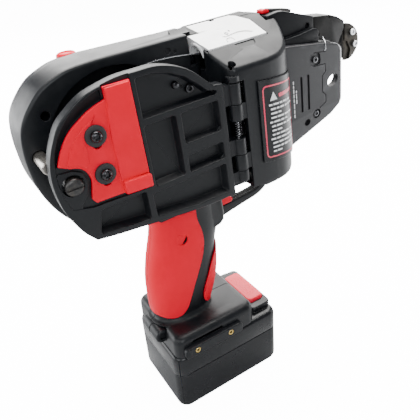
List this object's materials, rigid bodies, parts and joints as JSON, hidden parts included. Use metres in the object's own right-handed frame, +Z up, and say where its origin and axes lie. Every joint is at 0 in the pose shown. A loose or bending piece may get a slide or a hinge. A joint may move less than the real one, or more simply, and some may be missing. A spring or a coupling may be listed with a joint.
{
  "type": "cordless wire tying machine",
  "caption": "Pistol-grip cordless machine that feeds wire from a side reel chamber, curls it round crossed bars and twists it, with a hinged reel cover and a slide-on battery pack.",
  "frame": {"origin": "on the flat underside of the docked battery pack, under the foot", "axes": "+X towards the nose, +Y to the operator's left, +Z up; the upper body is pitched 4 degrees nose up"},
  "size_m": [0.2912, 0.0974, 0.3172],
  "materials": {
    "housing_right": "black glass-filled nylon, satin",
    "housing_left": "black glass-filled nylon, satin",
    "reel_case": "black nylon, satin",
    "reel_case_dome": "black nylon, satin",
    "reel_stop_button": "red, glossy",
    "reel_spindle": "turned",
    "reel_hub": "black, satin",
    "latch_stud": "turned, slotted head",
    "latch_post": "bright",
    "feed_plate": "bright, fine brushed",
    "wire_inlet_arch": "bright",
    "label_panel": "satin, plain",
    "nose_plate_right": "black",
    "nose_plate_left": "black",
    "nose_core": "black",
    "nose_bolt_upper": "socket head",
    "nose_bolt_lower": "socket head",
    "curl_guide_block": "blackened steel",
    "curl_plate_right": "blackened",
    "curl_plate_mid": "blackened",
    "curl_plate_left": "blackened",
    "curl_bolt_upper": "bright",
    "curl_bolt_lower": "bright",
    "release_lever": "red",
    "twist_motor": "steel can",
    "twist_gearbox": "steel",
    "twist_head": "hardened steel",
    "feed_motor": "steel can",
    "drive_roller": "knurled steel",
    "idler_roller": "steel",
    "wire_guide": "steel rod",
    "reel_cover": "black nylon, satin",
    "hinge_pin": "ground",
    "hinge_spring": "spring steel",
    "cover_pin_front": "bright",
    "cover_pin_rear": "bright",
    "latch_plate": "red, semi-gloss",
    "latch_washer_upper": "black",
    "latch_washer_lower": "black",
    "latch_screw_upper": "bright button head",
    "latch_screw_lower": "bright button head",
    "grip_rear_right": "red overmould, fine grain",
    "grip_rear_left": "red overmould, fine grain",
    "grip_front_right": "red overmould, fine grain",
    "grip_front_left": "red overmould, fine grain",
    "trigger": "red",
    "trigger_switch": "black",
    "torque_knob": "black, ribbed",
    "side_bar": "black, satin",
    "bar_insert_rear": "turned",
    "bar_insert_front": "turned",
    "terminal_block": "black",
    "terminal_blade_right": "stamped",
    "terminal_blade_left": "stamped",
    "controller_board": "green laminate",
    "pack_case_lower": "black, satin",
    "pack_case_upper": "black, satin",
    "pack_button": "red, fine grain",
    "pack_latch": "red",
    "cell_block": "wrapped cells"
  },
  "bodies": {
    "tool": {"housing_right": "housing_right", "housing_left": "housing_left", "reel_case": "reel_case", "reel_case_dome": "reel_case_dome", "reel_spindle": "reel_spindle", "latch_stud": "latch_stud", "latch_post": "latch_post", "feed_plate": "feed_plate", "wire_inlet_arch": "wire_inlet_arch", "label_panel": "label_panel", "nose_plate_right": "nose_plate_right", "nose_plate_left": "nose_plate_left", "nose_core": "nose_core", "nose_bolt_upper": "nose_bolt_upper", "nose_bolt_lower": "nose_bolt_lower", "curl_guide_block": "curl_guide_block", "curl_plate_right": "curl_plate_right", "curl_plate_mid": "curl_plate_mid", "curl_plate_left": "curl_plate_left", "curl_bolt_upper": "curl_bolt_upper", "curl_bolt_lower": "curl_bolt_lower", "twist_motor": "twist_motor", "twist_gearbox": "twist_gearbox", "feed_motor": "feed_motor", "wire_guide": "wire_guide", "hinge_pin": "hinge_pin", "hinge_spring": "hinge_spring", "grip_rear_right": "grip_rear_right", "grip_rear_left": "grip_rear_left", "grip_front_right": "grip_front_right", "grip_front_left": "grip_front_left", "trigger_switch": "trigger_switch", "side_bar": "side_bar", "bar_insert_rear": "bar_insert_rear", "bar_insert_front": "bar_insert_front", "terminal_block": "terminal_block", "terminal_blade_right": "terminal_blade_right", "terminal_blade_left": "terminal_blade_left", "controller_board": "controller_board"},
    "cover": {"reel_cover": "reel_cover", "cover_pin_front": "cover_pin_front", "cover_pin_rear": "cover_pin_rear", "latch_washer_upper": "latch_washer_upper", "latch_washer_lower": "latch_washer_lower", "latch_screw_upper": "latch_screw_upper", "latch_screw_lower": "latch_screw_lower"},
    "latch": {"latch_plate": "latch_plate"},
    "trigger_body": {"trigger": "trigger"},
    "hub": {"reel_hub": "reel_hub"},
    "pack": {"pack_case_lower": "pack_case_lower", "pack_case_upper": "pack_case_upper", "cell_block": "cell_block"},
    "pack_release": {"pack_button": "pack_button", "pack_latch": "pack_latch"},
    "knob": {"torque_knob": "torque_knob"},
    "twister": {"twist_head": "twist_head"},
    "drive": {"drive_roller": "drive_roller"},
    "idler": {"idler_roller": "idler_roller"},
    "lever": {"release_lever": "release_lever"},
    "reel_stop": {"reel_stop_button": "reel_stop_button"}
  },
  "joints": [
    {"name": "cover_hinge", "type": "hinge", "parent": "tool", "child": "cover", "pos_m": [0.01637, -0.04, 0.24158], "axis": [-0.0698, 0, 0.9976], "range_deg": [0, 105]},
    {"name": "latch_slide", "type": "slide", "parent": "cover", "child": "latch", "axis": [-0.0698, 0, 0.9976], "range_m": [0, 0.006]},
    {"name": "trigger_pull", "type": "slide", "parent": "tool", "child": "trigger_body", "axis": [-0.9976, 0, -0.0698], "range_m": [0, 0.005]},
    {"name": "hub_spin", "type": "hinge", "parent": "tool", "child": "hub", "pos_m": [-0.05856, -0.006, 0.25238], "axis": [0, 1, 0], "continuous": true},
    {"name": "pack_slide", "type": "slide", "parent": "tool", "child": "pack", "axis": [1, 0, 0], "range_m": [0, 0.09]},
    {"name": "pack_button_press", "type": "slide", "parent": "pack", "child": "pack_release", "axis": [0, 0, -1], "range_m": [0, 0.003]},
    {"name": "torque_knob_turn", "type": "hinge", "parent": "tool", "child": "knob", "pos_m": [-0.054, -0.0032, 0.0725], "axis": [0, 1, 0], "range_deg": [0, 270]},
    {"name": "twist_spin", "type": "hinge", "parent": "tool", "child": "twister", "pos_m": [0.10446, 0, 0.25777], "axis": [0.9976, 0, 0.0698], "continuous": true},
    {"name": "drive_roller_spin", "type": "hinge", "parent": "tool", "child": "drive", "pos_m": [0.03439, -0.0274, 0.28495], "axis": [-0.0698, 0, 0.9976], "continuous": true},
    {"name": "idler_roller_spin", "type": "hinge", "parent": "tool", "child": "idler", "pos_m": [0.03439, -0.0102, 0.28495], "axis": [-0.0698, 0, 0.9976], "continuous": true},
    {"name": "release_lever_lift", "type": "hinge", "parent": "tool", "child": "lever", "pos_m": [0.09414, 0, 0.31218], "axis": [0, 1, 0], "range_deg": [0, 20]},
    {"name": "reel_stop_press", "type": "slide", "parent": "tool", "child": "reel_stop", "axis": [0.0698, 0, -0.9976], "range_m": [0, 0.004]}
  ],
  "couplings": [
    {"joint": "idler_roller_spin", "follows": "drive_roller_spin", "ratio": -1}
  ]
}
